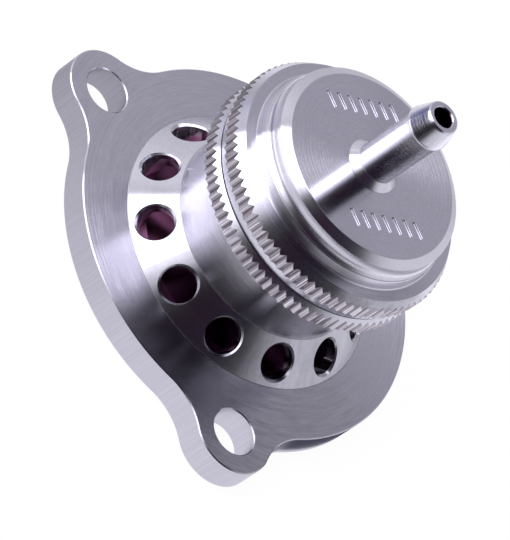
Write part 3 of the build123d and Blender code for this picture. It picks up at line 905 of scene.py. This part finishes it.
def make_housing_skin():
    """The pieces that are seen: body, cap and nipple, bright metal turned, with milled rim and cut knurls."""
    knurl_reach = (knurl_r - knurl_depth - 0.05, knurl_r + 0.05)
    body = cut_out(mesh_from("valve_body_turned", body_solid()), mesh_from("vent_drills", vent_drills()))
    smooth(body)
    true_cone_normals(body)
    # The knurls get painted shade in their valleys and on their side towards azimuth 170.
    knurl = milled_metal(
        "cut_knurl", (0.84, 0.80, 0.87), (0.20, 0.155, 0.18), roughness=0.22, line_pitch=0.10, depth=0.003,
        valley_shade_tone=0.3, shaded_side=dict(azimuth=170, spread=0.1, foot_z=0, top_z=face_z, tone=0.45))
    milled = milled_metal(
        "milled_rim", (0.62, 0.60, 0.67), (0.54, 0.52, 0.58), roughness=0.32, line_pitch=0.12, depth=0.0005)
    # The body gets painted shade on its side towards azimuth -35, and under the vents painted shade with a maroon
    # painted light.
    turned_body = turned_metal(
        "turned_body", bright, roughness=0.16, contrast=0.035, depth=0.005, shaded_inside=under_the_vents,
        shaded_side=dict(azimuth=-35, spread=-0.2, foot_z=-1, top_z=collar_z, tone=0.68),
        corners=[(cone_foot_r, flange_t), (neck_r, cone_top_z)], rougher=(flange_t, 0.03))
    show("valve_body_turned", body, turned_body, "housing", "valve_body", "turned_aluminium")
    give_finish(body, knurl, collar_z, joint_z, *knurl_reach)
    give_finish(body, milled, 0, flange_t, face_groove_out_r + 1, ear_distance + ear_r + 1)
    cap = mesh_from("cap_turned", cap_solid())
    smooth(cap)
    # The cap gets painted shade towards azimuth -22, between the knurl's crest and the shoulder.
    turned_cap = turned_metal(
        "turned_cap", bright, roughness=0.15, contrast=0.02, depth=0.004,
        shaded_side=dict(azimuth=-22, spread=0.5, foot_z=cap_crest_z, top_z=shoulder_z + 0.02, tone=0.62),
        corners=[(lip_r - 0.1, lip_z)])
    show("cap_turned", cap, turned_cap, "housing", "cap", "turned_aluminium")
    give_finish(cap, knurl, cap_band_z, shoulder_z, *knurl_reach)
    nipple = mesh_from("hose_nipple_turned", nipple_solid())
    smooth(nipple)
    # The nipple gets painted shade on its shank towards azimuth -12, and in its bore.
    turned_nipple = turned_metal(
        "turned_nipple", bright, roughness=0.12, contrast=0.04, depth=0.004, shaded_inside=inside_the_bore,
        shaded_side=dict(azimuth=-12, spread=0.5, foot_z=shank_z, top_z=barb_z, tone=0.6),
        corners=[(shank_r, shank_z), (shank_r + 0.05, barb_z)])
    show("hose_nipple_turned", nipple, turned_nipple, "housing", "hose_nipple", "nipple_metal")


def shorten_with_piston(spring):
    """Reads the spring's foot and top, and gives it a mesh of its own."""
    foot_z, top_z = extent("return_spring")[1:]
    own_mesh(spring)


def make_inner_pieces():
    """The pieces behind the vents and inside: seat, piston with its seals, spring and guide. Each is given by its CAD
    node, its body, its slot and its surfaces, and each slot has its finish."""
    finishes = {
        "black_rubber": mottled("cord_rubber", (0.02, 0.02, 0.021), (0.45, 0.65), scale=900.0, bump=0.2),
        "guide_plastic": mottled("guide_plastic", (0.72, 0.69, 0.62), (0.35, 0.5), scale=600.0, detail=4.0),
        "steel": turned_metal("turned_steel", (0.52, 0.51, 0.50), roughness=0.25, line_pitch=0.2),
        # The seat gets painted shade above it, in the chamber.
        "seat_aluminium": turned_metal(
            "turned_seat", (0.58, 0.57, 0.60), roughness=0.22, line_pitch=0.4, shaded_inside=above_the_seat),
        # The piston's near-black maroon is painted shade, for the dark behind the vents.
        "piston_aluminium": turned_metal(
            "piston_painted_dark", (0.05, 0.015, 0.03), roughness=0.5, line_pitch=0.3, contrast=0.25),
        "spring_steel": mottled("spring_wire", (0.42, 0.42, 0.44), (0.25, 0.45), scale=1500.0, metallic=1.0),
    }
    fixed, sliding = "housing", "piston_assembly"
    inside = [
        ("valve_seat", fixed, "seat_aluminium", valve_seat_ring()),
        ("piston", sliding, "piston_aluminium", piston_ring()),
        ("seal_retainer", sliding, "steel", seal_retainer_ring()),
        ("retainer_screw", sliding, "steel", screw_surfaces()),
        ("preload_shim_lower", sliding, "steel", flat_ring("preload_shim_lower", shim_in_r)),
        ("preload_shim_upper", sliding, "steel", flat_ring("preload_shim_upper", shim_in_r)),
        ("nose_seal", sliding, "black_rubber", flat_ring("nose_seal", seal_in_r)),
        ("return_spring", fixed, "spring_steel", spring_surfaces()),
        ("spring_guide", fixed, "guide_plastic", spring_guide_ring()),
        ("bump_stop", fixed, "black_rubber", flat_ring("bump_stop", stop_in_r)),
        ("piston_guide_band", sliding, "guide_plastic", flat_ring("piston_guide_band", band_in_r)),
    ]
    for node in ("seat_o_ring", "flange_o_ring", "cap_o_ring", "nipple_o_ring"):
        inside.append((node, fixed, "black_rubber", cord_ring(node)))
    for node in ("piston_o_ring_lower", "piston_o_ring_upper"):
        inside.append((node, sliding, "black_rubber", cord_ring(node)))
    for node, body, slot, surfaces in inside:
        mesh = mesh_from(node + "_finished", surfaces)
        smooth(mesh)
        piece = show(node + "_finished", mesh, finishes[slot], body, node, slot)
        if node == "return_spring":
            shorten_with_piston(piece)


def flat_card(name, corners, material):
    """A flat card of the studio, from its corners in metres."""
    mesh = bpy.data.meshes.new(name)
    mesh.from_pydata(corners, [], [tuple(range(len(corners)))])
    mesh.materials.append(material)
    card = bpy.data.objects.new(name, mesh)
    bpy.context.scene.collection.objects.link(card)
    return card


def azimuth_ramp(add, axes, stops, most=3.0):
    """Colour that changes with the azimuth of a vector, from the vector's axes. Each stop is an azimuth in degrees
    and a colour or a level of slightly blue white, with no level above the most."""
    blueness = 1.07
    azimuth = maths(add, "ARCTAN2", axes[1], axes[0])
    ramp = add("ShaderNodeValToRGB", {0: remap(add, azimuth, -np.pi, np.pi)})
    elements = ramp.color_ramp.elements
    while len(elements) > 1:
        elements.remove(elements[0])
    for index, (place, level) in enumerate(stops):
        colour = np.array(level if isinstance(level, tuple) else (level, level, level * blueness)) / most
        at = (place + 180) / 360
        stop = elements.new(at) if index else elements[0]
        stop.position = at
        stop.color = (*colour, 1)
    return scaled(add, ramp, most)


def studio_pattern(add, way):
    """The colour that bright metal meets in a direction above the floor. Halfway between that direction and the
    lens's lies the surface normal that mirrors it, and the panels are cut along that normal's azimuth, so that a
    turned wall shows white, dark and grey in sectors. Gentle slopes see the panels' edges, level faces a plain grey.
    The tilt is the sine of the normal's angle from the vertical."""
    slope_tilt = (0.08, 0.20)
    wall_tilt = (0.30, 0.44)
    halfway = vectors(add, "NORMALIZE", vectors(add, "ADD", way, tuple(lens_way)))
    axes = add("ShaderNodeSeparateXYZ", {0: halfway}).outputs
    tilt = level_length(add, axes)
    panels = azimuth_ramp(add, axes, (
        (-180, 0.66), (-160, 0.70), (-150, 0.74), (-140, 0.84), (-132, 0.90), (-126, 0.88), (-122, 0.80),
        (-119.6, 0.76), (-119, 3.0), (-91, 3.0), (-88, 2.1), (-86, 1.7), (-84, 1.35), (-82, 1.05), (-80, 0.74),
        (-78, 0.46), (-76, 0.26), (-74, 0.14), (-72, 0.09), (-66, (0.045, 0.033, 0.045)),
        (-60, (0.036, 0.022, 0.036)), (-46, (0.038, 0.030, 0.048)), (-40, (0.05, 0.045, 0.06)), (-36, 0.08),
        (-32, 0.15), (-28, 0.31), (-25, 0.46), (-21, 0.62), (-16, 0.76), (-6, 0.84), (40, 0.84), (100, 0.68),
    ))
    edges = azimuth_ramp(add, axes, (
        (-180, 0.50), (-126, 0.52), (-118, 0.80), (-110, 1.1), (-105, 2.2), (-100, 4.6), (-82, 4.6), (-79.5, 1.8),
        (-77.5, 0.3), (-74, (0.07, 0.055, 0.065)), (-60, (0.05, 0.033, 0.042)), (-44, (0.055, 0.040, 0.048)),
        (-32, (0.12, 0.10, 0.11)), (-26, 0.30), (-16, 0.42), (40, 0.46), (100, 0.48),
    ), 5.0)
    sides = mixed(add, remap(add, tilt, *wall_tilt, soft=True), edges, panels)
    return mixed(add, remap(add, tilt, *slope_tilt, soft=True), (0.43, 0.425, 0.485, 1), sides)


def floor_in_metal(add, axes):
    """The colour that each place of the floor shows to bright metal, in three zones with their own light and dark
    sectors: a white sheet round the object, the table that it lies on, and the room beyond."""
    sheet_edge = (0.066, 0.076)
    table_edge = (0.104, 0.120)
    sheet = azimuth_ramp(add, axes, (
        (-180, 0.75), (-165, 0.66), (-150, 0.55), (-135, 0.70), (-110, 0.80), (-70, 0.98), (-40, 1.02), (-10, 1.00),
        (10, 0.95), (30, 0.85), (55, 0.65), (75, 0.60), (100, 0.75), (140, 0.80),
    ))
    table = azimuth_ramp(add, axes, (
        (-180, 0.85), (-168, 0.74), (-151, 0.72), (-150, 2.2), (-106, 2.2), (-100, 1.5), (-96, 1.25), (-93, 1.0),
        (-89, 0.66), (-85, 0.43), (-82, 0.24), (-78, 0.10), (-74, 0.07), (-60, (0.040, 0.028, 0.040)),
        (-22, (0.036, 0.028, 0.040)), (-10, 0.06), (-5, 0.12), (1, 0.30), (7, 0.58), (12, 0.86), (18, 1.08),
        (29, 1.30), (41, 1.40), (120, 1.20), (166, 0.90),
    ))
    room = azimuth_ramp(add, axes, (
        (-180, (0.26, 0.27, 0.42)), (-158, (0.16, 0.17, 0.34)), (-126, (0.08, 0.085, 0.16)),
        (-110, (0.045, 0.04, 0.08)), (-94, 0.03), (-62, 0.03), (-46, 0.12), (-32, 0.52), (-14, 0.82), (20, 0.92),
        (60, 0.85), (80, 0.65), (140, 0.72), (165, 0.62), (175, 0.42),
    ))
    distance = level_length(add, axes)
    near = mixed(add, remap(add, distance, *sheet_edge, soft=True), sheet, table)
    return mixed(add, remap(add, distance, *table_edge, soft=True), near, room)


def make_floor():
    """Floor just under the flange. The lens sees it nearly white, bright metal sees the zones of floor_in_metal, and
    all else meets a pale card. From below it is clear."""
    ground_z = -0.05 * MM
    reach = 3
    white_share = 0.93
    material, add = blank_material("pale_floor")
    place = add("ShaderNodeTexCoord", {})
    axes = add("ShaderNodeSeparateXYZ", {0: place.outputs["Object"]}).outputs
    seen = floor_in_metal(add, axes)
    path = add("ShaderNodeLightPath", {}).outputs
    straight = maths(add, "MAXIMUM", path["Is Camera Ray"], path["Is Transmission Ray"])
    lit = add("ShaderNodeBsdfDiffuse", {"Color": (0.72, 0.72, 0.72, 1)})
    white = add("ShaderNodeEmission", {"Color": (1, 1, 1, 1), "Strength": 1.03})
    mirrored = add("ShaderNodeEmission", {"Color": seen, "Strength": 1.0})
    pale = add("ShaderNodeMixShader", {0: maths(add, "MULTIPLY", straight, white_share), 1: lit, 2: white})
    above = add("ShaderNodeMixShader", {0: path["Is Glossy Ray"], 1: pale, 2: mirrored})
    side = add("ShaderNodeNewGeometry", {})
    below = add("ShaderNodeBsdfTransparent", {"Color": (1, 1, 1, 1)})
    both = add("ShaderNodeMixShader", {0: side.outputs["Backfacing"], 1: above, 2: below})
    add("ShaderNodeOutputMaterial", {0: both})
    flat_card("floor", [(x * reach, y * reach, ground_z) for x, y in ((-1, -1), (1, -1), (1, 1), (-1, 1))], material)


def make_contact_shade():
    """Dark strip on the floor beside one side of the flange, where the rim shades it. Only bright metal sees it."""
    in_r, out_r = 28.0, 38.0
    lift = 0.2
    shade, add = blank_material("contact_shade")
    dark = add("ShaderNodeEmission", {"Color": (0.10, 0.10, 0.14, 1), "Strength": 1.0})
    add("ShaderNodeOutputMaterial", {0: dark})
    a = np.radians(np.linspace(-14, 24, 16))
    outline = np.concatenate((polar(in_r, a), polar(out_r, a[::-1])))
    corners = np.column_stack((outline, np.full(len(outline), lift))) * MM
    card = flat_card("contact_shade", corners.tolist(), shade)
    card.visible_camera = False
    card.visible_diffuse = False
    card.visible_shadow = False


def make_light():
    """The studio's panels all round as the world, and a soft lamp above for what is not metal."""
    lamp_width = 0.6
    lamp_height = 1.1
    lamp_watts = 1.6
    world = bpy.data.worlds.new("studio")
    bpy.context.scene.world = world
    world.use_nodes = True
    world.node_tree.nodes.clear()
    add = node_adder(world.node_tree)
    way = add("ShaderNodeTexCoord", {})
    light = add("ShaderNodeBackground", {0: studio_pattern(add, way.outputs["Generated"]), 1: 1.0})
    add("ShaderNodeOutputWorld", {0: light})
    lamp = bpy.data.lights.new("top_softbox", "AREA")
    lamp.shape = "DISK"
    lamp.size = lamp_width
    lamp.energy = lamp_watts
    top = bpy.data.objects.new("top_softbox", lamp)
    top.location = (0, 0, lamp_height)
    top.visible_glossy = False
    bpy.context.scene.collection.objects.link(top)


def make_camera():
    """The camera that took the photograph, solved from the object's outlines: how far it stands from the point that
    it looks at, from which side, how high and how far rolled about its own line of sight."""
    focal_px = 5204.8
    width_px = 510
    aim = np.array((1.79, 2.56, 2.0)) * MM
    distance = 705.13 * MM
    roll = np.radians(55.676)
    back = lens_way
    side = np.array((-np.sin(lens_azimuth), np.cos(lens_azimuth), 0))
    rise = np.cross(back, side)
    right = side * np.cos(roll) + rise * np.sin(roll)
    up = rise * np.cos(roll) - side * np.sin(roll)
    axes = np.column_stack((right, up, back, aim + distance * back))
    data = bpy.data.cameras.new("camera")
    data.sensor_fit = "HORIZONTAL"
    data.sensor_width = 36.0
    data.lens = data.sensor_width * focal_px / width_px
    data.clip_start = 0.05
    data.clip_end = 20.0
    camera = bpy.data.objects.new("camera", data)
    camera.matrix_world = Matrix([*axes.tolist(), [0, 0, 0, 1]])
    bpy.context.scene.collection.objects.link(camera)
    bpy.context.scene.camera = camera


make_housing_skin()
make_inner_pieces()
make_floor()
make_contact_shade()
make_light()
make_camera()
bpy.context.scene.view_settings.view_transform = "Standard"
